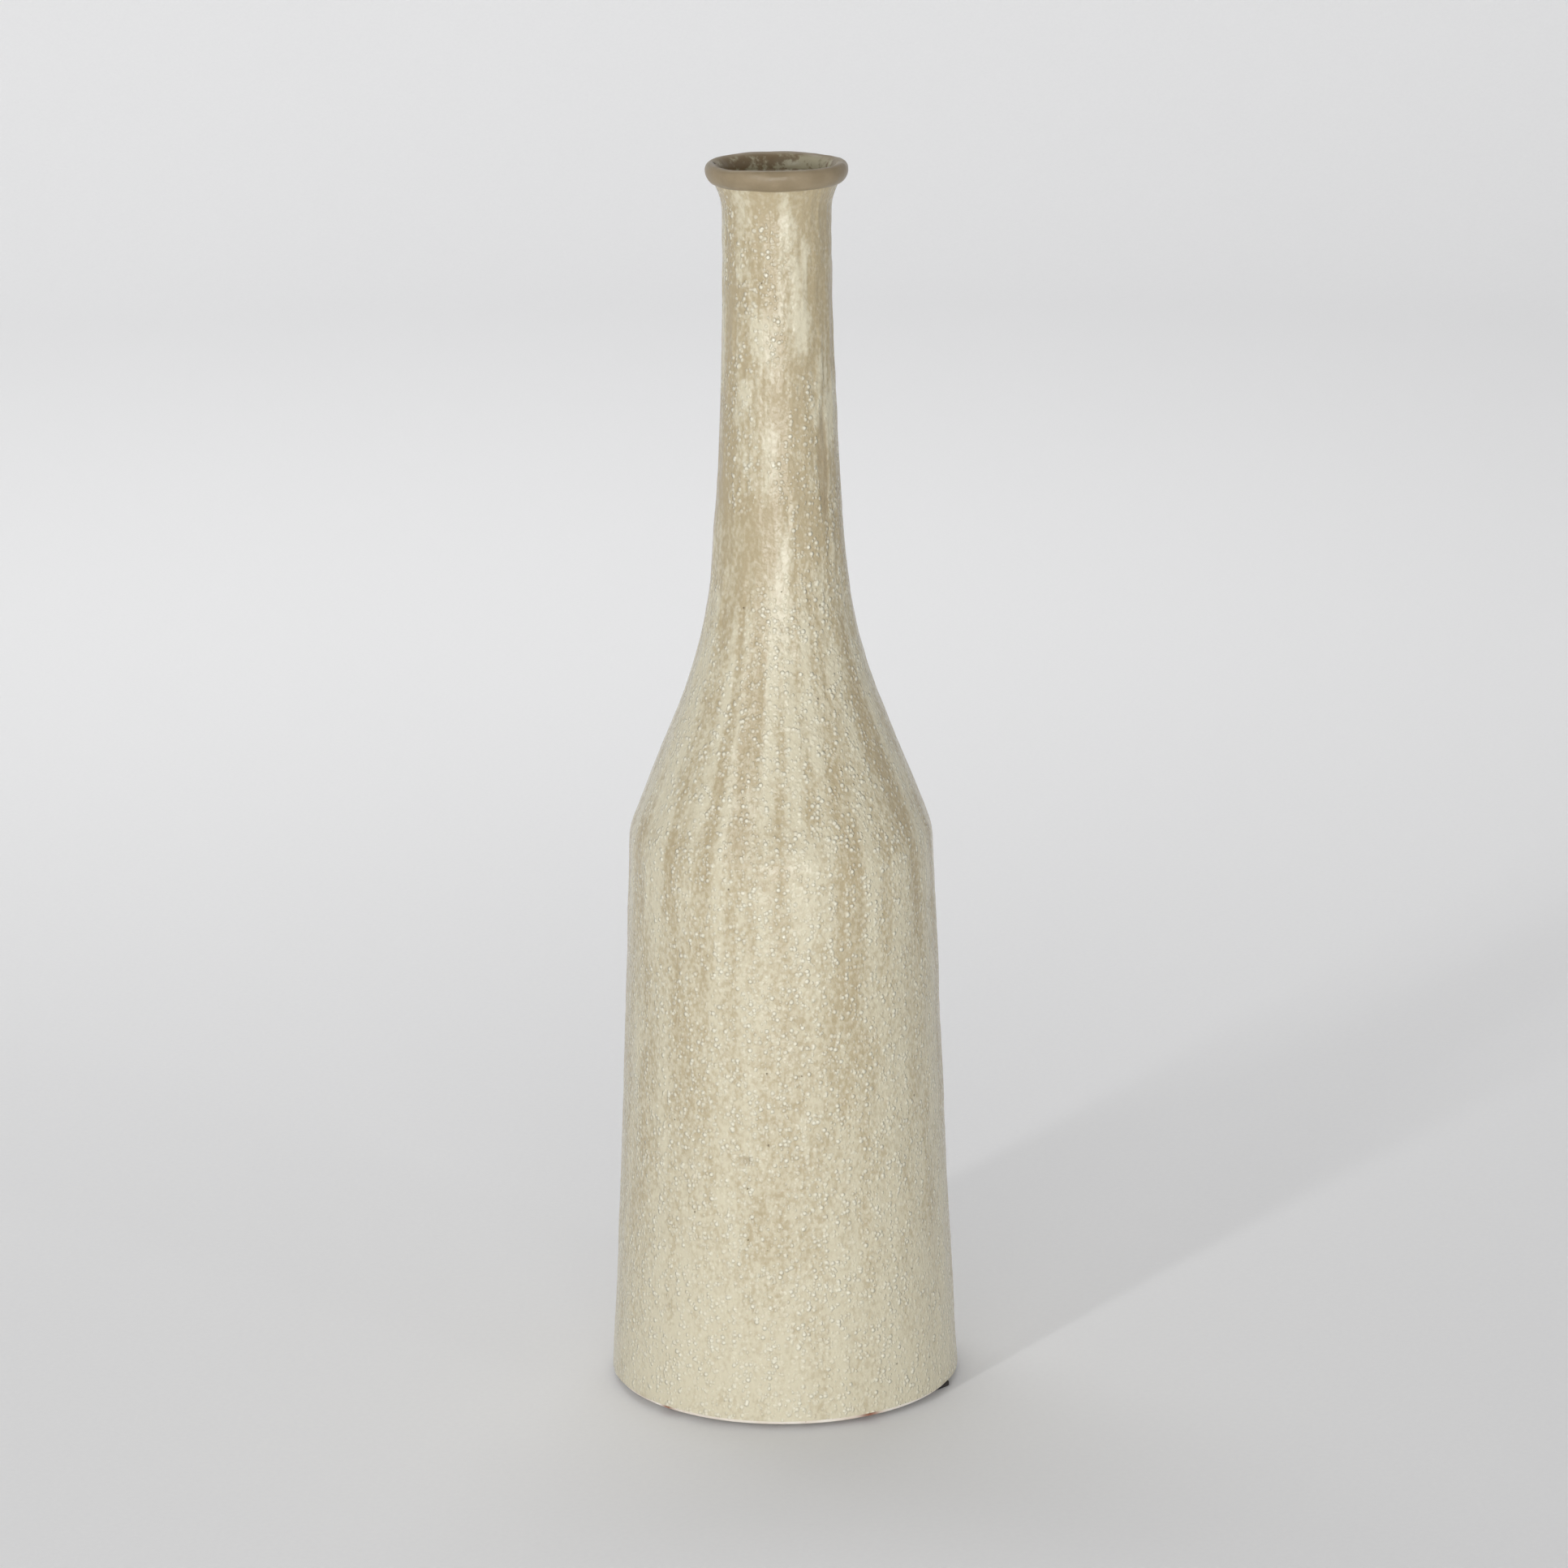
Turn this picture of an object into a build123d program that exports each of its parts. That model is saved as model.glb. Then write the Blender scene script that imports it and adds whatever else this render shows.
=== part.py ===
from build123d import *
import os

# A tall stoneware bottle vase: flared body, sloping shoulder, long slim neck and a rolled rim.
# Millimetres, +Z up along the axis of the pot, origin on the axis at the underside of the pads.
# Every clay and glaze piece is turned about +Z from a half section drawn as (radius, height).

# Overall sizes
TOTAL_HEIGHT = 480.0
PAD_THICKNESS = 2.0
BASE_THICKNESS = 8.0
WALL = 6.0  # outer surface to the hollow's clay face, measured level

# Outer surface of the pot, glaze included, as the corners of its section before rounding
FOOT_RADIUS = 67.8
WAIST_RADIUS, WAIST_HEIGHT, WAIST_ROUND = 63.1, 92.0, 5000.0
SHOULDER_RADIUS, SHOULDER_HEIGHT, SHOULDER_ROUND = 58.2, 222.3, 22.0
NECK_ROOT_RADIUS, NECK_ROOT_HEIGHT, NECK_ROOT_ROUND = 27.5, 298.6, 190.0
NECK_RADIUS, NECK_HEIGHT, NECK_ROUND = 20.4, 401.5, 1500.0
FLARE_HEIGHT, FLARE_ROUND, FLARE_SLOPE = 465.5, 15.0, 0.41

# Hollow: it follows the outer surface up to the neck's root, then narrows to a straight bore
BORE_RADIUS = 15.4
BORE_START, BORE_START_ROUND = 381.0, 300.0
BORE_END, BORE_END_ROUND = 460.5, 12.0
POOL_RADIUS = 6.0  # glaze pooled in the corner where the wall meets the floor

# Glaze coats
OUTSIDE_GLAZE = 0.8
INSIDE_GLAZE = 0.5
GLAZE_FOOT_LINE = 3.6  # height at which the outside coat was wiped off above the foot
GLAZE_TOP_LINE = 474.0  # buried in the rim, which cuts the coat back to the crease
LINER_TOP_LINE = 474.0

# Rim: a coil of clay with an oval section that leans outwards, pressed over the neck's flared lip
RIM_CENTRE_RADIUS = 23.8
RIM_THICKNESS, RIM_LENGTH = 5.5, 8.4  # across and along the oval
RIM_LEAN = 23.0
LIP_TOP = 476.6

# Joints between the clay sections are cones, so that each section seats in the one below
SCARF_SLOPE = 0.6
BODY_JOINT = (55.0, 218.0)
NECK_JOINT = (24.5, 304.0)
REACH = 90.0  # beyond the widest radius

# Foot edge and pads
FOOT_CHAMFER = 0.8
PAD_SIDE = 38.0
PAD_CORNER_ROUND = 1.0
PAD_PLACES = (
    # radius and angle of the centre, then the direction that the outer side faces; stuck on by hand
    (43.5, -30.0, -42.5),
    (40.0, 60.0, 60.0),
    (40.0, 150.0, 150.0),
    (38.4, -120.8, -115.2),
)

BASE_BOTTOM = PAD_THICKNESS
BASE_TOP = BASE_BOTTOM + BASE_THICKNESS


def closed_section(corners, rounds):
    """Face across both sides of the axis, from the right-hand corners, bottom to top."""
    mirrored = [(-radius, height) for radius, height in reversed(corners)]
    all_rounds = rounds + rounds[::-1]
    return make_face(FilletPolyline(*corners, *mirrored, radius=all_rounds, close=True))


def flare_radius(start_radius, start_height, height):
    """Radius that the mouth's flare reaches at a height."""
    return start_radius + FLARE_SLOPE * (height - start_height)


def outer_section():
    """Section of the whole pot, glaze included, run on past the foot and the lip."""
    top = TOTAL_HEIGHT
    corners = [
        (FOOT_RADIUS, 0),
        (WAIST_RADIUS, WAIST_HEIGHT),
        (SHOULDER_RADIUS, SHOULDER_HEIGHT),
        (NECK_ROOT_RADIUS, NECK_ROOT_HEIGHT),
        (NECK_RADIUS, NECK_HEIGHT),
        (NECK_RADIUS, FLARE_HEIGHT),
        (flare_radius(NECK_RADIUS, FLARE_HEIGHT, top), top),
    ]
    rounds = [0, WAIST_ROUND, SHOULDER_ROUND, NECK_ROOT_ROUND, NECK_ROUND, FLARE_ROUND, 0]
    return closed_section(corners, rounds)


def hollow_section():
    """Section of the hollow in the clay, which the inside glaze then lines."""
    top = TOTAL_HEIGHT
    bore = BORE_RADIUS + INSIDE_GLAZE
    corners = [
        (FOOT_RADIUS - WALL, BASE_TOP),
        (WAIST_RADIUS - WALL, WAIST_HEIGHT),
        (SHOULDER_RADIUS - WALL, SHOULDER_HEIGHT),
        (NECK_ROOT_RADIUS - WALL, NECK_ROOT_HEIGHT),
        (bore, BORE_START),
        (bore, BORE_END),
        (flare_radius(bore, BORE_END, top), top),
    ]
    rounds = [0, WAIST_ROUND, SHOULDER_ROUND, NECK_ROOT_ROUND, BORE_START_ROUND, BORE_END_ROUND, 0]
    return closed_section(corners, rounds)


def level_band(low, high):
    """Half section between two heights."""
    return Pos(0, low) * Rectangle(REACH, high - low, align=(Align.MIN, Align.MIN))


def above_joint(joint):
    """Half section above the cone of a joint, given as a (radius, height) point on it."""
    radius, height = joint
    at_axis = height - radius * SCARF_SLOPE
    at_reach = at_axis + REACH * SCARF_SLOPE
    return make_face(Polyline((0, at_axis), (REACH, at_reach), (REACH, TOTAL_HEIGHT),
                              (0, TOTAL_HEIGHT), close=True))


def lathe(section):
    """Turn a half section into a solid about the axis."""
    return revolve(Plane.XZ * section, Axis.Z)


def clay_sections(outer, hollow):
    """Half sections of the four thrown clay pieces, from the base up to the neck's lip."""
    clay = offset(outer, -OUTSIDE_GLAZE, kind=Kind.INTERSECTION)
    wall = (clay - hollow) & level_band(BASE_TOP, LIP_TOP)
    above_body = above_joint(BODY_JOINT)
    above_shoulder = above_joint(NECK_JOINT)
    base = clay & level_band(BASE_BOTTOM, BASE_TOP)
    foot_edge = base.vertices().group_by(Axis.Y)[0].sort_by(Axis.X)[-1]
    return {
        "base_slab": chamfer(foot_edge, FOOT_CHAMFER),
        "body_wall": wall - above_body,
        "shoulder_wall": (wall & above_body) - above_shoulder,
        "neck_tube": wall & above_shoulder,
    }


def rim_oval():
    """Oval section of the rolled rim before the neck's lip is pressed into it."""
    oval = Rot(0, 0, -RIM_LEAN) * Ellipse(RIM_THICKNESS / 2, RIM_LENGTH / 2)
    return Pos(RIM_CENTRE_RADIUS, TOTAL_HEIGHT - oval.bounding_box().max.Y) * oval


def outside_glaze_section(outer):
    """Coat on the outside, from the wiped line above the foot to the crease under the rim."""
    coat = outer - offset(outer, -OUTSIDE_GLAZE, kind=Kind.INTERSECTION)
    return (coat & level_band(GLAZE_FOOT_LINE, GLAZE_TOP_LINE)) - rim_oval()


def inside_glaze_section(hollow):
    """Liner of the hollow, pooled in the corner at the floor."""
    air = offset(hollow, -INSIDE_GLAZE, kind=Kind.INTERSECTION)
    floor_corners = air.vertices().group_by(Axis.Y)[0]
    air = fillet(floor_corners, POOL_RADIUS)
    return ((hollow - air) & level_band(BASE_TOP, LINER_TOP_LINE)) - rim_oval()


def foot_pad(radius, angle, facing):
    """Square pad under the foot, at a place from PAD_PLACES."""
    outline = RectangleRounded(PAD_SIDE, PAD_SIDE, PAD_CORNER_ROUND)
    place = Rot(0, 0, angle) * Pos(radius, 0, 0) * Rot(0, 0, facing - angle)
    return extrude(place * outline, PAD_THICKNESS)


def build_nodes():
    """Every piece of the vase, by node name."""
    outer = outer_section()
    hollow = hollow_section()
    sections = clay_sections(outer, hollow)
    sections["rim_coil"] = rim_oval() - sections["neck_tube"]
    sections["outside_glaze"] = outside_glaze_section(outer)
    sections["inside_glaze"] = inside_glaze_section(hollow)
    nodes = {name: lathe(section) for name, section in sections.items()}
    for number, place in enumerate(PAD_PLACES, start=1):
        nodes[f"foot_pad_{number}"] = foot_pad(*place)
    return nodes


os.makedirs("parts", exist_ok=True)
for name, solid in build_nodes().items():
    export_step(solid, f"parts/{name}.step")
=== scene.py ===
import math

import bmesh
import bpy
import numpy as np
from mathutils import Euler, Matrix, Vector


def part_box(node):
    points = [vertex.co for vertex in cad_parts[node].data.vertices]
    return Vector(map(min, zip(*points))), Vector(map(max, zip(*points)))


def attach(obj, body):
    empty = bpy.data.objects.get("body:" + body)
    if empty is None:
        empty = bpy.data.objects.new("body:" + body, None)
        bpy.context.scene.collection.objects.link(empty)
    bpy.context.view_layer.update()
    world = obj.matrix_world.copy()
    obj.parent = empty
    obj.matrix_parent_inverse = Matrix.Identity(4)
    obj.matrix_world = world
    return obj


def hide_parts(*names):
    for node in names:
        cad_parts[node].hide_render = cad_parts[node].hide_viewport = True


# A stoneware bottle vase in a plain studio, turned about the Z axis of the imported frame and
# roughened as a hand-made pot is. The coats follow the sections of their CAD nodes. The rim, the
# foot disc and the liner's floor are turned too, with their sizes and places from the CAD boxes.
# The pads are the CAD pads with softened edges. Lengths are in metres and angles on the pot in
# radians, except where a name or a comment says otherwise.

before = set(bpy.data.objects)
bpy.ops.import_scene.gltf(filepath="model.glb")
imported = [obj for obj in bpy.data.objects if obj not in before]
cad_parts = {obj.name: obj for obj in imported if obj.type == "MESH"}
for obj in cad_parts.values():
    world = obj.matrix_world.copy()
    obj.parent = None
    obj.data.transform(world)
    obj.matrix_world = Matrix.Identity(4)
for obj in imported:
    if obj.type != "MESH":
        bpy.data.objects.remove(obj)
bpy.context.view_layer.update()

MM = 0.001
TURN = 2 * math.pi
BODY = "root"

# Turned meshes
AROUND = 440  # cells round every turned piece, so that stacked pieces share their edge's points
ROW = 1.3 * MM  # height of a row of cells on the glaze
BACK_ROW = 4 * MM  # the same on the hidden face of a coat, which lies on the clay
FACING = 0.3  # least share of a face's normal along the radius that counts as facing out or in
COAT_SWELL = 0.2 * MM  # makes up for the streaks, which are sunk into the coat
SMOOTHING = 1.6 * MM  # rounds off the facets of a CAD section

# Where the outside coat is cut into pieces that follow the clay sections
SHOULDER_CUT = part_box("shoulder_wall")[0].z + 3 * MM
NECK_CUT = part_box("neck_tube")[0].z

# Rolled rim
RIM_THICKNESS = 6.1 * MM  # along the radius
RIM_LEAN = 1.2 * MM  # how much higher its outside stands than its middle
RIM_SECTION = 72  # points round its section

HUB = 0.02 * MM  # radius left at the middle of a turned disc, too small to see

# Stretches of the coat's height over which its look changes
FLOOR_BOUNCE_FADE = (0.0, 0.14)  # paler below this: painted light bounced up from the floor
CORNER_FADE = (0.15, 0.24)  # streaks grow stronger towards the shoulder's corner
SMOOTH_FADE = (0.27, 0.34)  # smooth patches begin
NECK_FADE = (0.29, 0.36)  # the neck's broader streaks take over
UNDER_RIM_FADE = (0.44, 0.468)  # thin and tan under the rim

# Marks on the coat: angle round the pot in degrees (-90 is the front) and height, then half sizes
SHADED_BARE_RUN = (-43, 0.368, 11, 36 * MM)  # a smooth stretch without specks on the neck's right side, its darker tan painted shade
DARK_RUN = (-31, 0.268, 9, 60 * MM)  # a thin brown streak down the shoulder
NICK = (-103, 0.107, 4, 1.6 * MM)
SCRATCH = (-77, 0.115, 2.6, 1.2 * MM)

# Marks and painted light on other pieces, with their angles round the pot in degrees
PAINTED_LIGHT_SIDE = 25  # middle of the lit side of the mouth, where the liner and the rim's inside are painted paler: painted light
FOOT_STAINS = ((-61, 6.5), (-133, 4))  # angle and half width of the rusty marks on the foot edge
RIM_CHIP = (176, 1.75, 4.0, 0.3)  # like a mark on the coat, with radians round the coil for heights

# Foot disc and liner floor
FOOT_ROUND = 0.7 * MM  # softens the foot's outer edge
FOOT_MARK_PITCH, FOOT_MARK_DEPTH = 3.1 * MM, 0.06 * MM  # turning marks on the underside
FLOOR_MARK_PITCH, FLOOR_MARK_DEPTH = 4.2 * MM, 0.08 * MM  # turning marks on the liner's floor
PAD_BEVEL = 0.3 * MM

# Camera: straight in front of the pot, a little above it and looking down
CAMERA_BACK = 2.2
CAMERA_RIGHT = 1.2 * MM
CAMERA_HEIGHT = 0.832
CAMERA_PITCH = 15.09
CAMERA_ROLL = -0.416
LENS_MM, SENSOR_MM = 136.05, 36.0
SKY_STRENGTH = 0.33


# ---------------------------------------------------------------- sections and noise

def facing_profile(node_name, facing):
    """Heights and radii of a turned node's face, away from the axis (1) or towards it (-1)."""
    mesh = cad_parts[node_name].data
    rows = set()
    for polygon in mesh.polygons:
        centre, normal = polygon.center.xy, polygon.normal.xy
        if facing * centre.dot(normal) > FACING * centre.length:
            for index in polygon.vertices:
                point = mesh.vertices[index].co
                rows.add((round(point.z, 5), point.xy.length))
    heights = sorted({height for height, radius in rows})
    radii = [max(radius for z, radius in rows if z == height) for height in heights]
    return np.array(heights), np.array(radii)


def smooth_profile(node_name, facing, low, high):
    """A function giving the smoothed radius of a node's face at any height."""
    heights, radii = facing_profile(node_name, facing)
    step = SMOOTHING / 4
    reach = 16  # steps on each side of the smoothing window, four times SMOOTHING
    even = np.arange(low - 6 * SMOOTHING, high + 6 * SMOOTHING, step)
    below = (radii[1] - radii[0]) / (heights[1] - heights[0])
    above = (radii[-1] - radii[-2]) / (heights[-1] - heights[-2])
    raw = np.interp(even, heights, radii)
    raw += np.minimum(even - heights[0], 0) * below + np.maximum(even - heights[-1], 0) * above
    window = np.exp(-0.5 * (np.arange(-reach, reach + 1) * step / SMOOTHING) ** 2)
    padded = np.pad(raw, reach, mode="reflect", reflect_type="odd")
    smoothed = np.convolve(padded, window / window.sum(), mode="valid")
    return lambda height: np.interp(height, even, smoothed)


def lattice_noise(angle, height, columns, row_height, seed):
    """Smooth noise from -1 to 1 over a turned surface, with so many cells around it."""
    rows = int(0.5 / row_height) + 6
    values = np.random.default_rng(seed).uniform(-1, 1, (rows, columns))
    across = np.mod(angle / TURN, 1) * columns
    up = np.maximum(height / row_height + 2, 0)
    column, row = np.floor(across).astype(int), np.floor(up).astype(int)
    u, v = across - column, up - row
    u, v = u * u * (3 - 2 * u), v * v * (3 - 2 * v)
    left, right = column % columns, (column + 1) % columns
    low = values[row, left] * (1 - u) + values[row, right] * u
    high = values[row + 1, left] * (1 - u) + values[row + 1, right] * u
    return low * (1 - v) + high * v


def bump_at(angle, height, centre_degrees, centre_height, half_degrees, half_height):
    """A round-topped patch, 1 at its centre and 0 past its half sizes."""
    turn = np.angle(np.exp(1j * (angle - math.radians(centre_degrees))))
    distance = np.hypot(turn / math.radians(half_degrees), (height - centre_height) / half_height)
    inside = np.clip(1 - distance, 0, 1)
    return inside * inside * (3 - 2 * inside)


def rise(value, low, high):
    """A smooth step from 0 below low to 1 above high."""
    share = np.clip((value - low) / (high - low), 0, 1)
    return share * share * (3 - 2 * share)


# ---------------------------------------------------------------- the pot's unevenness

def hand_wobble(angle, height):
    """How far the thrown wall stands out from a true circle."""
    slow = 0.26 * MM * lattice_noise(angle, height, columns=5, row_height=62 * MM, seed=1)
    lumps = lattice_noise(angle, height, columns=13, row_height=21 * MM, seed=2)
    lumps = (0.16 + 0.1 * rise(height, *NECK_FADE)) * MM * lumps
    rings = 0.07 * MM * lattice_noise(angle, height, columns=2, row_height=5.5 * MM, seed=3)
    return slow + lumps + rings


def glaze_runs_and_bounce(angle, height):
    """Where the coat ran thin in streaks down the pot: 0 is thick and cream, 1 is thin and tan. The value
    is lowered towards the foot, which paints the light bounced up from the floor.
    """
    neck = rise(height, *NECK_FADE)
    broad = lattice_noise(angle, height, columns=9, row_height=120 * MM, seed=11)
    wide_streaks = lattice_noise(angle, height, columns=60, row_height=70 * MM, seed=12)
    neck_streaks = lattice_noise(angle, height, columns=17, row_height=26 * MM, seed=16)
    threads = lattice_noise(angle, height, columns=110, row_height=22 * MM, seed=13)
    patches = lattice_noise(angle, height, columns=26, row_height=9 * MM, seed=14)
    streaks = wide_streaks * (1 - neck) + 1.25 * neck_streaks * neck
    strength = 0.5 + 0.7 * rise(height, *CORNER_FADE)
    mixed = 0.16 * broad + 0.46 * streaks + 0.2 * threads + (0.12 + 0.24 * neck) * patches
    runs_and_bounce = 0.42 + strength * mixed
    # painted light: the last term pales the coat towards the foot, where light bounces up from the floor
    runs_and_bounce += 0.3 * rise(height, *UNDER_RIM_FADE) + 0.36 * neck - 0.3 * (1 - rise(height, *FLOOR_BOUNCE_FADE))
    return np.clip(runs_and_bounce + 0.5 * bump_at(angle, height, *DARK_RUN), 0, 1)


def glaze_relief(angle, height):
    """Offset and shader attributes of the outside coat."""
    runs_and_bounce = glaze_runs_and_bounce(angle, height)
    # partly painted shade: this smooth stretch lies in the shaded band on the neck's right side
    bare_and_shade = rise(bump_at(angle, height, *SHADED_BARE_RUN), 0.2, 0.55)
    nick = np.maximum(bump_at(angle, height, *NICK), 0.6 * bump_at(angle, height, *SCRATCH))
    smooth_patches = lattice_noise(angle, height, columns=11, row_height=28 * MM, seed=18)
    smooth = rise(height, *SMOOTH_FADE) * rise(smooth_patches, -0.3, 0.4)
    clots = 0.07 * MM * lattice_noise(angle, height, columns=150, row_height=3.2 * MM, seed=15)
    ridges = 0.2 * MM * lattice_noise(angle, height, columns=62, row_height=16 * MM, seed=17)
    sunk = 0.2 * MM * runs_and_bounce + 0.16 * MM * bare_and_shade + 0.8 * MM * nick
    offset = COAT_SWELL + hand_wobble(angle, height) + clots + ridges - sunk
    return offset, {"runs_and_bounce": runs_and_bounce, "bare_and_shade": bare_and_shade, "smooth": smooth, "nick": nick}


# ---------------------------------------------------------------- meshes

def surface_normals(points):
    """Unit normals of a grid of points that wraps round in its second direction."""
    around = np.roll(points, -1, axis=1) - np.roll(points, 1, axis=1)
    normals = np.cross(around, np.gradient(points, axis=0))
    return normals / np.linalg.norm(normals, axis=2, keepdims=True)


def grid_faces(rows, closed):
    """Quads of a grid that wraps round, and along too if it is closed."""
    row = np.arange(rows if closed else rows - 1)[:, None]
    column = np.arange(AROUND)[None, :]
    next_row, next_column = (row + 1) % rows, (column + 1) % AROUND
    corners = (row * AROUND + column, row * AROUND + next_column,
               next_row * AROUND + next_column, next_row * AROUND + column)
    return np.stack(np.broadcast_arrays(*corners), axis=-1).reshape(-1, 4)


def grid_object(name, points, attributes, closed=True, normals=None):
    """A shown object from a grid of points, with its shader attributes."""
    mesh = bpy.data.meshes.new(name)
    mesh.from_pydata(points.reshape(-1, 3), [], grid_faces(len(points), closed))
    mesh.shade_smooth()
    for key, values in attributes.items():
        layer = mesh.attributes.new(key, "FLOAT", "POINT")
        layer.data.foreach_set("value", np.ascontiguousarray(values, np.float32).ravel())
    if normals is not None:
        mesh.normals_split_custom_set_from_vertices(normals.reshape(-1, 3))
    piece = bpy.data.objects.new(name, mesh)
    bpy.context.scene.collection.objects.link(piece)
    return piece


def turned_points(radii, heights):
    """Grid of points from a section turned about the axis."""
    angles = np.arange(AROUND) * TURN / AROUND
    radii = np.broadcast_to(radii, (len(heights), AROUND))
    tall = np.broadcast_to(np.reshape(heights, (len(heights), -1)), radii.shape)
    return np.stack([radii * np.cos(angles), radii * np.sin(angles), tall], axis=-1)


def coat_piece(name, face, back, low, high, relief):
    """One stretch of a coat: its shown face with relief, and a plain back face on the clay."""
    cells = int(round((high - low) / ROW))
    heights = low + np.arange(-1, cells + 2) * (high - low) / cells
    angle_grid, height_grid = np.meshgrid(np.arange(AROUND) * TURN / AROUND, heights)
    offset, attributes = relief(angle_grid, height_grid)
    front = turned_points(face(heights)[:, None] + offset, heights)
    front_normals = surface_normals(front)[1:-1]
    back_rows = int((high - low) / BACK_ROW) + 2
    back_heights = np.linspace(high, low, back_rows)
    rear = turned_points(back(back_heights)[:, None], back_heights)
    points = np.concatenate([front[1:-1], rear])
    normals = np.concatenate([front_normals, np.zeros_like(rear)])
    spare = {key: np.concatenate([values[1:-1], np.zeros((back_rows, AROUND))])
             for key, values in attributes.items()}
    return grid_object(name, points, spare, normals=normals)


# ---------------------------------------------------------------- materials

class Nodes:
    """Builds one material's node tree, with a short call for each kind of node."""

    def __init__(self, name):
        self.material = bpy.data.materials.new(name)
        self.material.use_nodes = True
        self.tree = self.material.node_tree
        self.tree.nodes.clear()

    def add(self, kind, inputs, output=0, **settings):
        """A node, its inputs set to values or linked to sockets; returns one output."""
        node = self.tree.nodes.new(kind)
        for key, value in settings.items():
            setattr(node, key, value)
        for key, value in inputs.items():
            if isinstance(value, bpy.types.NodeSocket):
                self.tree.links.new(value, node.inputs[key])
            else:
                node.inputs[key].default_value = value
        return node.outputs[output]

    def place_mm(self, stretch=(1, 1, 1)):
        """The place on the object in millimetres, with each axis scaled."""
        place = self.add("ShaderNodeTexCoord", {}, output="Object")
        scale = [1000 * share for share in stretch]
        return self.add("ShaderNodeVectorMath", {0: place, 1: scale}, operation="MULTIPLY")

    def attribute(self, name):
        return self.add("ShaderNodeAttribute", {}, output="Fac", attribute_name=name)

    def maths(self, operation, first, second=0.0):
        return self.add("ShaderNodeMath", {0: first, 1: second}, operation=operation)

    def ramp(self, value, low, high, start=0.0, end=1.0):
        """A smooth step of value from start at low to end at high."""
        inputs = {"Value": value, "From Min": low, "From Max": high, "To Min": start, "To Max": end}
        return self.add("ShaderNodeMapRange", inputs, interpolation_type="SMOOTHSTEP")

    def noise(self, place, size_mm, detail=2.0, roughness=0.5):
        inputs = {"Vector": place, "Scale": 1 / size_mm, "Detail": detail, "Roughness": roughness}
        return self.add("ShaderNodeTexNoise", inputs)

    def specks(self, place, spacing_mm, radius_mm, share):
        """Round specks from 0 to 1, in this share of the cells of the spacing."""
        inputs = {"Vector": place, "Scale": 1 / spacing_mm}
        distance = self.add("ShaderNodeTexVoronoi", inputs, output="Distance")
        dice = self.add("ShaderNodeTexVoronoi", inputs, output="Color")
        edge = radius_mm / spacing_mm
        spot = self.ramp(distance, 0.35 * edge, edge, 1.0, 0.0)
        red = self.add("ShaderNodeSeparateColor", {"Color": dice})
        return self.maths("MULTIPLY", spot, self.maths("LESS_THAN", red, share))

    def mix(self, factor, first, second):
        """Blend of two colours."""
        inputs = {"Factor": factor, "A": first, "B": second}
        node = self.tree.nodes.new("ShaderNodeMix")
        node.data_type = "RGBA"
        colour_sockets = {"Factor": 0, "A": 6, "B": 7}
        for key, value in inputs.items():
            socket = node.inputs[colour_sockets[key]]
            if isinstance(value, bpy.types.NodeSocket):
                self.tree.links.new(value, socket)
            else:
                socket.default_value = value
        return node.outputs[2]

    def bump(self, height, depth_mm, normal=None):
        inputs = {"Height": height, "Distance": depth_mm * MM, "Strength": 1.0}
        if normal is not None:
            inputs["Normal"] = normal
        return self.add("ShaderNodeBump", inputs)

    def finish(self, colour, roughness, normal, ior=1.5):
        """The surface shader, which ends the material."""
        inputs = {"Base Color": colour, "Roughness": roughness, "Normal": normal, "IOR": ior}
        shader = self.add("ShaderNodeBsdfPrincipled", inputs)
        surface = self.tree.nodes.new("ShaderNodeOutputMaterial").inputs["Surface"]
        self.tree.links.new(shader, surface)
        return self.material


def grey(level):
    return (level, level, level, 1.0)


CREAM = (0.645, 0.595, 0.445, 1.0)
TAN = (0.45, 0.373, 0.235, 1.0)
PALE_SPECK = (0.84, 0.81, 0.67, 1.0)
# darker tan of the smooth stretch on the neck: painted shade
PAINTED_SHADE_TAN = (0.36, 0.285, 0.175, 1.0)
TAUPE = (0.255, 0.2, 0.122, 1.0)
PALE_TAUPE = (0.31, 0.245, 0.155, 1.0)
CHIP_DARK = (0.07, 0.06, 0.055, 1.0)
CLAY_PALE = (0.84, 0.80, 0.73, 1.0)
CLAY_WARM = (0.72, 0.63, 0.54, 1.0)
GROG_BROWN = (0.36, 0.25, 0.17, 1.0)
RUBBER_BLACK = (0.016, 0.013, 0.012, 1.0)
RUBBER_WORN = (0.035, 0.029, 0.026, 1.0)
RUST = (0.3, 0.13, 0.075, 1.0)
PAPER = (0.86, 0.86, 0.867, 1.0)
PAPER_FIBRE = (0.88, 0.881, 0.884, 1.0)
LINER_BROWN = (0.235, 0.17, 0.095, 1.0)
LINER_PALE = (0.5, 0.46, 0.32, 1.0)


def speck_pattern(nodes, place):
    """Pale specks of two sizes, gathered in clumps that hang down the pot."""
    large = nodes.specks(place, spacing_mm=2.2, radius_mm=1.15, share=0.6)
    small = nodes.specks(nodes.place_mm((1, 1, 0.8)), spacing_mm=1.35, radius_mm=0.7, share=0.6)
    both = nodes.maths("MAXIMUM", large, nodes.maths("MULTIPLY", small, 0.6))
    clumps = nodes.ramp(nodes.noise(nodes.place_mm((1, 1, 0.45)), 3.8), 0.38, 0.58, 0.3, 1.0)
    return nodes.maths("MULTIPLY", both, clumps)


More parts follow.
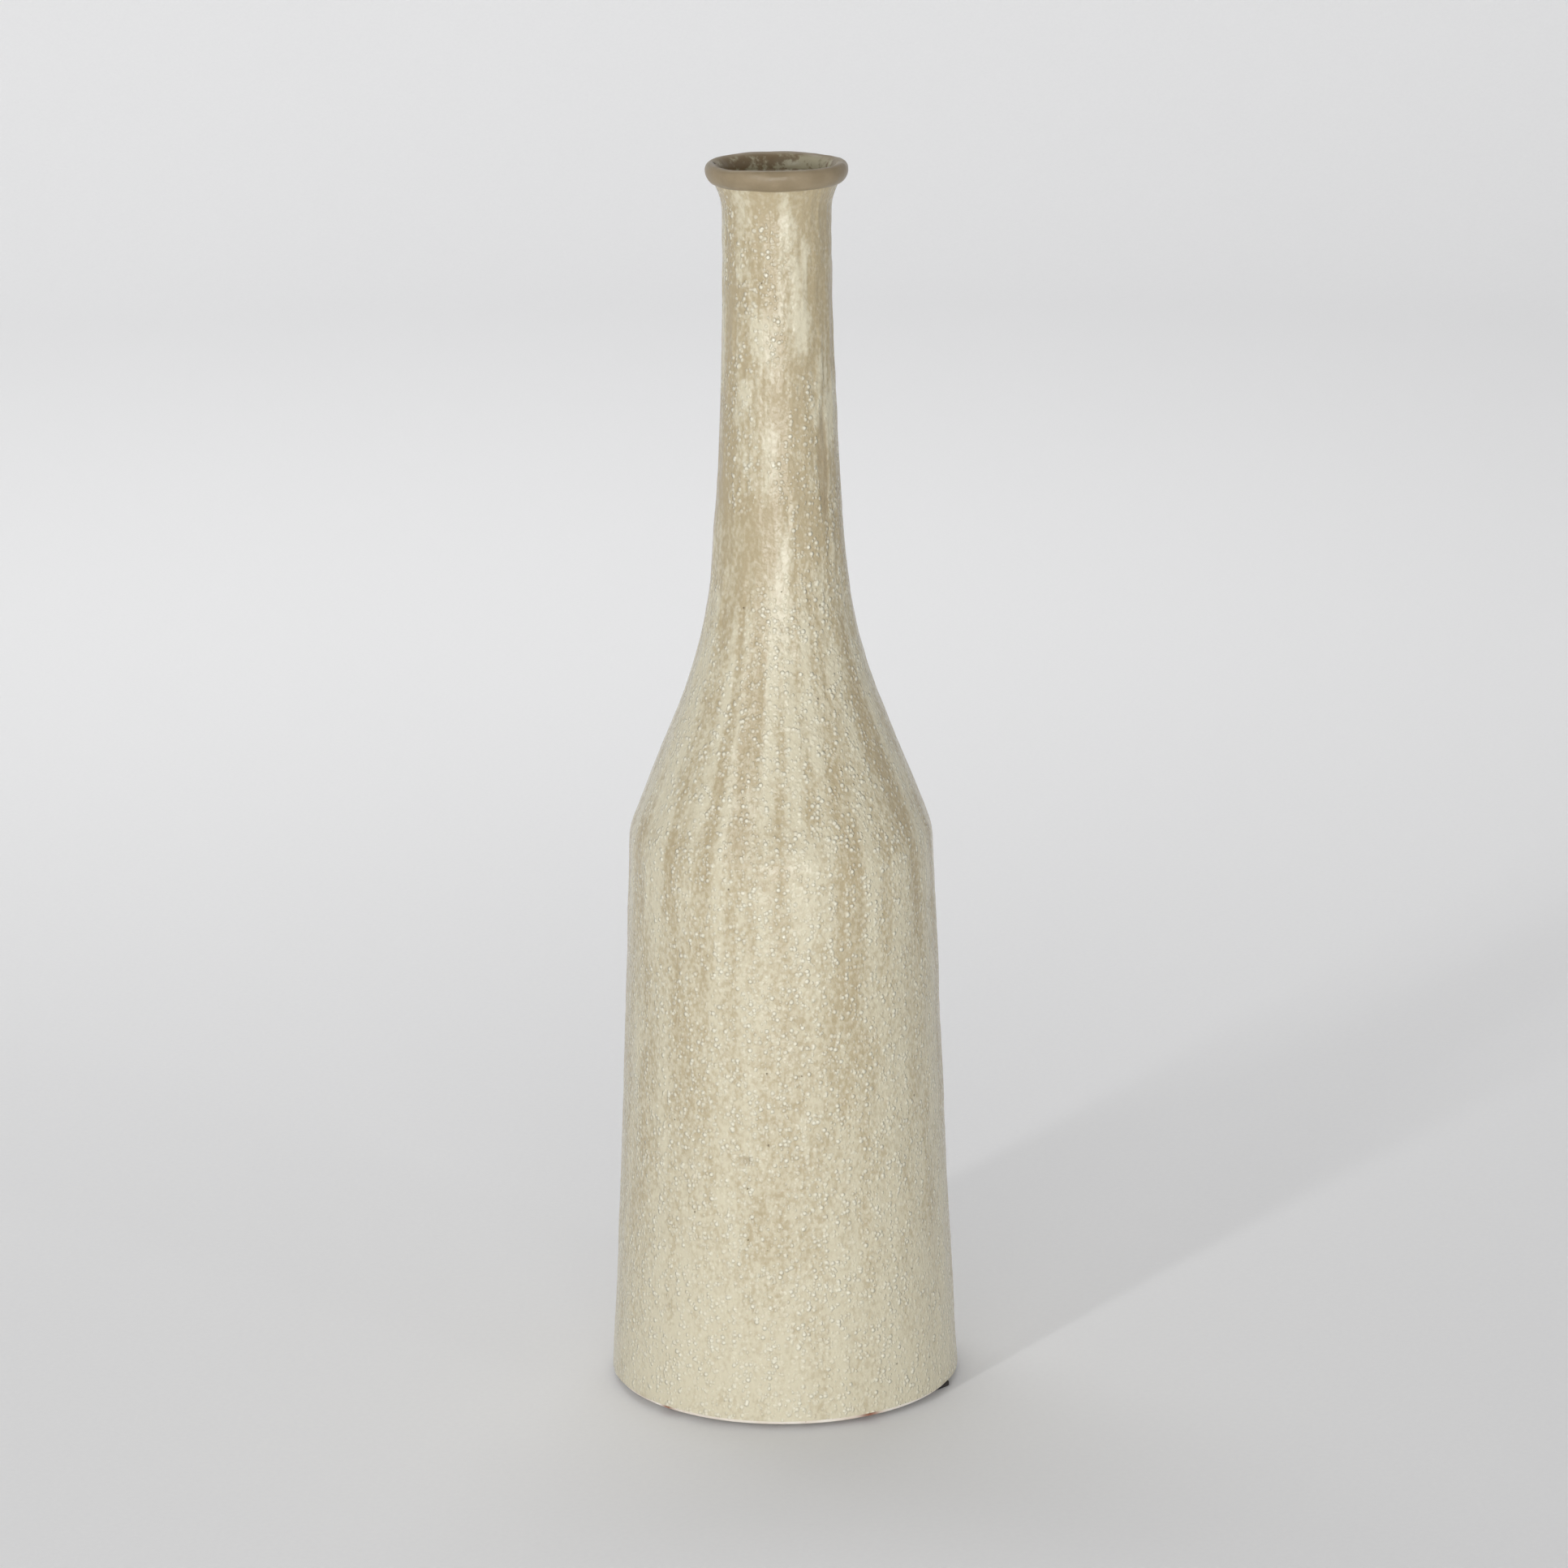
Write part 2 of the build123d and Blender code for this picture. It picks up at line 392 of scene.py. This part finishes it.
def speckled_glaze():
    """Satin cream glaze with raised pale specks, tan runs, pinholes and a wrinkled skin, with painted
    light from the floor near the foot and painted shade on the neck's smooth stretch.
    """
    nodes = Nodes("speckled_cream_glaze")
    place = nodes.place_mm()
    runs_and_bounce, bare_and_shade, smooth, nick = (nodes.attribute(name) for name in ("runs_and_bounce", "bare_and_shade", "smooth", "nick"))
    curds = nodes.noise(nodes.place_mm((1, 1, 0.7)), 1.7, detail=3.0)
    clouds = nodes.noise(nodes.place_mm((1, 1, 0.35)), 6.0, detail=3.0)
    thin = nodes.maths("ADD", runs_and_bounce, nodes.ramp(curds, 0.3, 0.7, 0.3, -0.3))
    thin = nodes.maths("ADD", thin, nodes.ramp(clouds, 0.3, 0.7, 0.12, -0.12))
    # the runs value also carries painted light: it is lowered near the foot, so the coat is creamier
    # there
    colour = nodes.mix(nodes.ramp(thin, -0.05, 1.1), CREAM, TAN)

    kept = nodes.ramp(nodes.maths("MAXIMUM", bare_and_shade, smooth), 0.0, 1.0, 1.0, 0.15)
    specks = nodes.maths("MULTIPLY", speck_pattern(nodes, place), kept)
    # painted shade: the smooth stretch on the neck's right side is darkened with this tan
    colour = nodes.mix(nodes.maths("MULTIPLY", bare_and_shade, 0.7), colour, PAINTED_SHADE_TAN)
    colour = nodes.mix(nodes.maths("MULTIPLY", specks, 0.8), colour, PALE_SPECK)
    pinholes = nodes.specks(place, spacing_mm=7.0, radius_mm=0.5, share=0.2)
    marks = nodes.maths("MAXIMUM", pinholes, nick)
    colour = nodes.mix(nodes.maths("MULTIPLY", marks, 0.6), colour, TAUPE)

    wrinkles = nodes.noise(nodes.place_mm((1, 1, 0.7)), 1.3, roughness=0.5)
    normal = nodes.bump(nodes.noise(place, 3.4), 0.24)
    normal = nodes.bump(wrinkles, 0.22, normal)
    normal = nodes.bump(nodes.maths("SUBTRACT", specks, pinholes), 0.5, normal)
    roughness = nodes.ramp(curds, 0.3, 0.7, 0.24, 0.15)
    return nodes.finish(colour, roughness, normal, ior=1.44)


def brown_mottle(nodes, place, painted_light):
    """Brown glaze with pale greenish patches, more of them where the mask is 1: painted light on the lit
    side of the mouth.
    """
    clouds = nodes.noise(place, 3.4, detail=5.0, roughness=0.65)
    # painted light: the mask of the mouth's lit side gives more pale patches there
    lift = nodes.ramp(painted_light, 0.0, 1.0, -0.05, 0.08)
    patches = nodes.ramp(nodes.maths("ADD", clouds, lift), 0.44, 0.62)
    warm = nodes.mix(nodes.ramp(nodes.noise(place, 9.0), 0.35, 0.65), LINER_BROWN, TAUPE)
    return nodes.mix(patches, warm, LINER_PALE)


def rim_glaze():
    """Thin smooth taupe glaze on the rolled rim, mottled where it turns into the mouth, with painted
    light paling the mottle on the mouth's lit side.
    """
    nodes = Nodes("taupe_rim_glaze")
    place = nodes.place_mm()
    inside, chip, painted_light = (nodes.attribute(name) for name in ("inside", "chip", "painted_light"))
    clouds = nodes.noise(place, 7.0, detail=4.0)
    colour = nodes.mix(nodes.ramp(clouds, 0.3, 0.7), TAUPE, PALE_TAUPE)
    # painted light: the mottle inside the mouth is paler on the mouth's lit side
    colour = nodes.mix(inside, colour, brown_mottle(nodes, place, painted_light))
    colour = nodes.mix(chip, colour, CHIP_DARK)
    normal = nodes.bump(nodes.noise(place, 4.0, detail=3.0), 0.3)
    roughness = nodes.ramp(clouds, 0.3, 0.7, 0.3, 0.42)
    return nodes.finish(colour, roughness, normal, ior=1.4)


def liner_glaze():
    """Brown glaze inside the pot, with pale greenish patches where it pooled, and more of them on the lit
    side of the mouth as painted light.
    """
    nodes = Nodes("brown_liner_glaze")
    place = nodes.place_mm()
    # painted light: more pale patches on the mouth's lit side
    colour = brown_mottle(nodes, place, nodes.attribute("painted_light"))
    grain = nodes.noise(place, 1.8, detail=3.0)
    normal = nodes.bump(grain, 0.2)
    roughness = nodes.ramp(grain, 0.3, 0.7, 0.26, 0.42)
    return nodes.finish(colour, roughness, normal)


def bare_stoneware():
    """Dry unglazed clay with fine grog."""
    nodes = Nodes("bare_stoneware")
    place = nodes.place_mm()
    clouds = nodes.noise(place, 11.0, detail=4.0)
    colour = nodes.mix(nodes.ramp(clouds, 0.3, 0.7), CLAY_PALE, CLAY_WARM)
    grog = nodes.specks(place, spacing_mm=1.9, radius_mm=0.4, share=0.3)
    colour = nodes.mix(nodes.maths("MULTIPLY", grog, 0.6), colour, GROG_BROWN)
    colour = nodes.mix(nodes.attribute("stain"), colour, RUST)
    sand = nodes.noise(place, 0.6, detail=3.0)
    normal = nodes.bump(sand, 0.08)
    normal = nodes.bump(grog, 0.06, normal)
    roughness = nodes.ramp(sand, 0.3, 0.7, 0.78, 0.92)
    return nodes.finish(colour, roughness, normal)


def pad_rubber():
    """Black foam rubber with a fine open grain."""
    nodes = Nodes("black_pad_rubber")
    place = nodes.place_mm()
    clouds = nodes.noise(place, 8.0, detail=3.0)
    colour = nodes.mix(nodes.ramp(clouds, 0.3, 0.7), RUBBER_BLACK, RUBBER_WORN)
    pores = nodes.specks(place, spacing_mm=0.7, radius_mm=0.25, share=0.7)
    normal = nodes.bump(nodes.maths("SUBTRACT", 1.0, pores), 0.06)
    roughness = nodes.ramp(clouds, 0.3, 0.7, 0.7, 0.9)
    return nodes.finish(colour, roughness, normal)


def studio_paper():
    """Pale matt paper of the floor and backdrop."""
    nodes = Nodes("studio_paper")
    place = nodes.place_mm()
    fibre = nodes.noise(place, 2.0, detail=3.0)
    colour = nodes.mix(nodes.ramp(fibre, 0.2, 0.8), PAPER, PAPER_FIBRE)
    normal = nodes.bump(fibre, 0.02)
    return nodes.finish(colour, 0.9, normal)


# ---------------------------------------------------------------- pieces of the pot

def put(piece, material, slot, *nodes):
    """Give a piece its material and its place in the frame, and hide the CAD nodes that it stands for."""
    piece.data.materials.append(material)
    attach(piece, BODY)
    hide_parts(*nodes)
    return piece


def outside_coat(material):
    """The speckled coat, in three stretches that follow the clay sections."""
    low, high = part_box("outside_glaze")[0].z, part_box("outside_glaze")[1].z
    face = smooth_profile("outside_glaze", 1, low, high)
    back = smooth_profile("outside_glaze", -1, low, high)
    stretches = {
        "glaze_body": (low, SHOULDER_CUT),
        "glaze_shoulder": (SHOULDER_CUT, NECK_CUT),
        "glaze_neck": (NECK_CUT, high + 0.8 * MM),
    }
    for name, (start, end) in stretches.items():
        piece = coat_piece(name, face, back, start, end, glaze_relief)
        put(piece, material, "speckled_glaze", "outside_glaze")


def painted_light_side(angle):
    """1 on the lit side of the mouth and 0 on the shaded side: the mask of painted light on the liner and
    the rim's inside.
    """
    return rise(np.cos(angle - math.radians(PAINTED_LIGHT_SIDE)), 0.0, 0.9)


def liner_relief(angle, height):
    """Unevenness of the liner, which thickens inwards only."""
    lumps = lattice_noise(angle, height, columns=40, row_height=6 * MM, seed=21)
    # the attribute is the mask of painted light on the mouth's lit side
    return -0.12 * MM * (1 + lumps), {"painted_light": painted_light_side(angle)}


def inside_coat(material):
    """The liner of the hollow: its wall in three stretches, and the disc on the hollow's floor."""
    low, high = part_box("inside_glaze")[0].z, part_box("inside_glaze")[1].z
    face = smooth_profile("inside_glaze", -1, low, high)
    back = smooth_profile("inside_glaze", 1, low, high)
    floor = low + 0.5 * MM
    stretches = {
        "liner_body": (floor, SHOULDER_CUT),
        "liner_shoulder": (SHOULDER_CUT, NECK_CUT),
        "liner_neck": (NECK_CUT, high),
    }
    for name, (start, end) in stretches.items():
        piece = coat_piece(name, face, back, start, end, liner_relief)
        put(piece, material, "liner_glaze", "inside_glaze")
    liner_floor(material, float(face(floor)), low, floor)


def liner_floor(material, radius, low, high):
    """The disc of liner on the hollow's floor, with the turning marks of the clay below it."""
    ring_radii = np.linspace(radius, HUB, 40)
    marks = FLOOR_MARK_DEPTH * np.sin(ring_radii / FLOOR_MARK_PITCH * TURN)
    radii = np.concatenate([[HUB, radius], ring_radii])
    heights = np.concatenate([[low, low], high + marks])
    points = turned_points(radii[:, None], heights)
    piece = grid_object("liner_floor", points, {"painted_light": np.zeros(points.shape[:2])})
    put(piece, material, "liner_glaze", "inside_glaze")


def rolled_rim(material):
    """The rim's coil: a leaning oval that wavers in height and thickness as it goes round."""
    low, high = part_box("rim_coil")
    outer_radius = high.x
    half_wide, half_tall = RIM_THICKNESS / 2, (high.z - low.z) / 2
    angles = (np.arange(AROUND) * TURN / AROUND)[None, :]
    turn = np.linspace(0, TURN, RIM_SECTION, endpoint=False)[:, None]
    angle_grid, turn_grid = np.broadcast_arrays(angles, turn)
    level = np.zeros_like(angles)
    wave = 0.3 * MM * lattice_noise(angles, level, columns=7, row_height=0.1, seed=31)
    wave += 0.12 * MM * lattice_noise(angles, level, columns=19, row_height=0.1, seed=32)
    swell = 1 + 0.05 * lattice_noise(angles, level, columns=8, row_height=0.1, seed=33)
    chip = bump_at(angle_grid, turn_grid, *RIM_CHIP)
    dents = 0.05 * MM * lattice_noise(angle_grid, turn_grid * 0.02, columns=60, row_height=0.012, seed=34)
    scale = swell * (1 - 0.12 * chip)
    across = (half_wide * scale + dents) * np.cos(turn_grid)
    upright = np.sqrt(half_tall ** 2 - RIM_LEAN ** 2)
    along = (upright * scale + dents) * np.sin(turn_grid) + RIM_LEAN * np.cos(turn_grid)
    radii = outer_radius - half_wide + across
    heights = (low.z + high.z) / 2 + wave + along
    points = np.stack([radii * np.cos(angle_grid), radii * np.sin(angle_grid), heights], axis=-1)
    attributes = {
        "inside": rise(-np.cos(turn_grid), 0.0, 0.7) * rise(np.sin(turn_grid), -0.6, 0),
        "chip": rise(chip, 0.1, 0.5),
        # painted light: paler inside the rim on the mouth's lit side
        "painted_light": painted_light_side(angle_grid),
    }
    put(grid_object("rim_bead", points, attributes), material, "rim_glaze", "rim_coil")


def foot_disc(material):
    """The clay floor of the pot: bare underside with turning marks and a softened foot edge."""
    low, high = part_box("base_slab")
    outer = high.x
    ring_radii = np.linspace(HUB, outer - FOOT_ROUND, 60)
    marks = FOOT_MARK_DEPTH * np.sin(ring_radii / FOOT_MARK_PITCH * TURN)
    under = [(radius, low.z + FOOT_MARK_DEPTH + mark) for radius, mark in zip(ring_radii, marks)]
    bend = np.linspace(-math.pi / 2, 0, 8)[1:]
    edge_radii = outer - FOOT_ROUND + FOOT_ROUND * np.cos(bend)
    edge_heights = low.z + FOOT_ROUND + FOOT_ROUND * np.sin(bend)
    edge = list(zip(edge_radii, edge_heights))
    top = [(outer - 0.3 * MM, high.z), (outer / 2, high.z), (HUB, high.z)]
    radii, heights = np.array(under + edge + top).T
    angles = np.arange(AROUND) * TURN / AROUND
    angle_grid, height_grid = np.meshgrid(angles, heights)
    wobble = 0.12 * MM * lattice_noise(angle_grid, height_grid, columns=40, row_height=0.01, seed=41)
    shown = (radii > outer / 2)[:, None]
    points = turned_points(radii[:, None] + wobble * shown, heights)
    stain = sum(bump_at(angle_grid, 0.0, centre, 0.0, half_width, 1.0)
                for centre, half_width in FOOT_STAINS)
    near_edge = rise(radii, 0.9 * outer, outer)[:, None]
    piece = grid_object("foot_disc", points, {"stain": stain * near_edge})
    put(piece, material, "bare_stoneware", "base_slab")


def foot_pads(material):
    """Square rubber pads with softened edges, one for each CAD pad."""
    for node in sorted(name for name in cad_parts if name.startswith("foot_pad_")):
        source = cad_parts[node].data
        shape = bmesh.new()
        shape.from_mesh(source)
        bmesh.ops.remove_doubles(shape, verts=shape.verts, dist=0.01 * MM)
        bmesh.ops.dissolve_limit(shape, angle_limit=math.radians(2), verts=shape.verts, edges=shape.edges)
        bmesh.ops.bevel(shape, geom=[edge for edge in shape.edges if edge.calc_face_angle(0) > 1.0],
                        offset=PAD_BEVEL, segments=3, affect="EDGES")
        mesh = bpy.data.meshes.new(node + "_rubber")
        shape.to_mesh(mesh)
        shape.free()
        mesh.shade_smooth()
        piece = bpy.data.objects.new(node + "_rubber", mesh)
        bpy.context.scene.collection.objects.link(piece)
        put(piece, material, "pad_rubber", node)


def clay_sections(material):
    """The CAD clay walls keep their shape, hidden under the glaze, and get the clay material."""
    for node in ("body_wall", "shoulder_wall", "neck_tube"):
        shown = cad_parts[node]
        shown.data.materials.clear()
        shown.data.materials.append(material)


# ---------------------------------------------------------------- studio

def backdrop():
    """A round floor that sweeps up into a low wall, far behind the pot on every side."""
    floor_radius, sweep, wall_top = 2.3, 0.7, 1.6
    bend = np.linspace(-math.pi / 2, 0, 24)
    radii = np.concatenate([[0.001, 0.3, 1.0], floor_radius + sweep * np.cos(bend),
                            [floor_radius + sweep]])
    heights = np.concatenate([[0, 0, 0], sweep + sweep * np.sin(bend), [wall_top]])
    points = turned_points(radii[:, None], heights)
    paper = grid_object("studio_paper", points, {}, closed=False)
    paper.data.materials.append(studio_paper())


def area_light(name, size, watts):
    """A rectangular light that the camera doesn't see, not yet placed."""
    data = bpy.data.lights.new(name, "AREA")
    data.shape = "RECTANGLE"
    data.size, data.size_y = size
    data.energy = watts
    light = bpy.data.objects.new(name, data)
    light.visible_camera = False
    bpy.context.scene.collection.objects.link(light)
    return light


def soft_box(name, azimuth, distance, base_height, size, watts):
    """An upright area light facing the pot's axis. Azimuth 0 is in front, and positive to the right."""
    light = area_light(name, size, watts)
    side = math.radians(azimuth)
    height = base_height + size[1] / 2
    light.location = (distance * math.sin(side), -distance * math.cos(side), height)
    light.rotation_euler = (math.radians(90), 0, side)


def backdrop_light():
    """A light above and behind the pot that faces away from it, onto the floor and wall behind."""
    light = area_light("backdrop_light", size=(1.8, 1.0), watts=20.5)
    light.location = Vector((-0.35, 1.1, 1.9))
    towards = Vector((-0.35, 2.1, 0)) - light.location
    light.rotation_euler = towards.to_track_quat("-Z", "Y").to_euler()


def lighting():
    """Plain soft light: a tall narrow key at the left, a low front light, a weak fill, a pale sky."""
    soft_box("key", azimuth=-34, distance=2.0, base_height=0.3, size=(0.08, 1.6), watts=11)
    soft_box("front", azimuth=-2, distance=2.1, base_height=0.02, size=(1.4, 0.7), watts=20)
    soft_box("fill", azimuth=47, distance=2.0, base_height=0.05, size=(0.2, 1.1), watts=1.8)
    backdrop_light()
    world = bpy.data.worlds.new("studio_sky")
    world.use_nodes = True
    sky = world.node_tree.nodes["Background"]
    sky.inputs["Color"].default_value = grey(1.0)
    sky.inputs["Strength"].default_value = SKY_STRENGTH
    bpy.context.scene.world = world


def camera():
    data = bpy.data.cameras.new("camera")
    data.lens, data.sensor_width = LENS_MM, SENSOR_MM
    data.clip_start, data.clip_end = 0.05, 20
    view = bpy.data.objects.new("camera", data)
    view.location = (CAMERA_RIGHT, -CAMERA_BACK, CAMERA_HEIGHT)
    level = Euler((math.radians(90 - CAMERA_PITCH), 0, 0)).to_quaternion()
    roll = Euler((0, 0, math.radians(CAMERA_ROLL))).to_quaternion()
    view.rotation_euler = (level @ roll).to_euler()
    bpy.context.scene.collection.objects.link(view)
    bpy.context.scene.camera = view


def build():
    clay = bare_stoneware()
    outside_coat(speckled_glaze())
    inside_coat(liner_glaze())
    rolled_rim(rim_glaze())
    foot_disc(clay)
    foot_pads(pad_rubber())
    clay_sections(clay)
    backdrop()
    lighting()
    camera()
    bpy.context.scene.view_settings.view_transform = "Standard"


build()
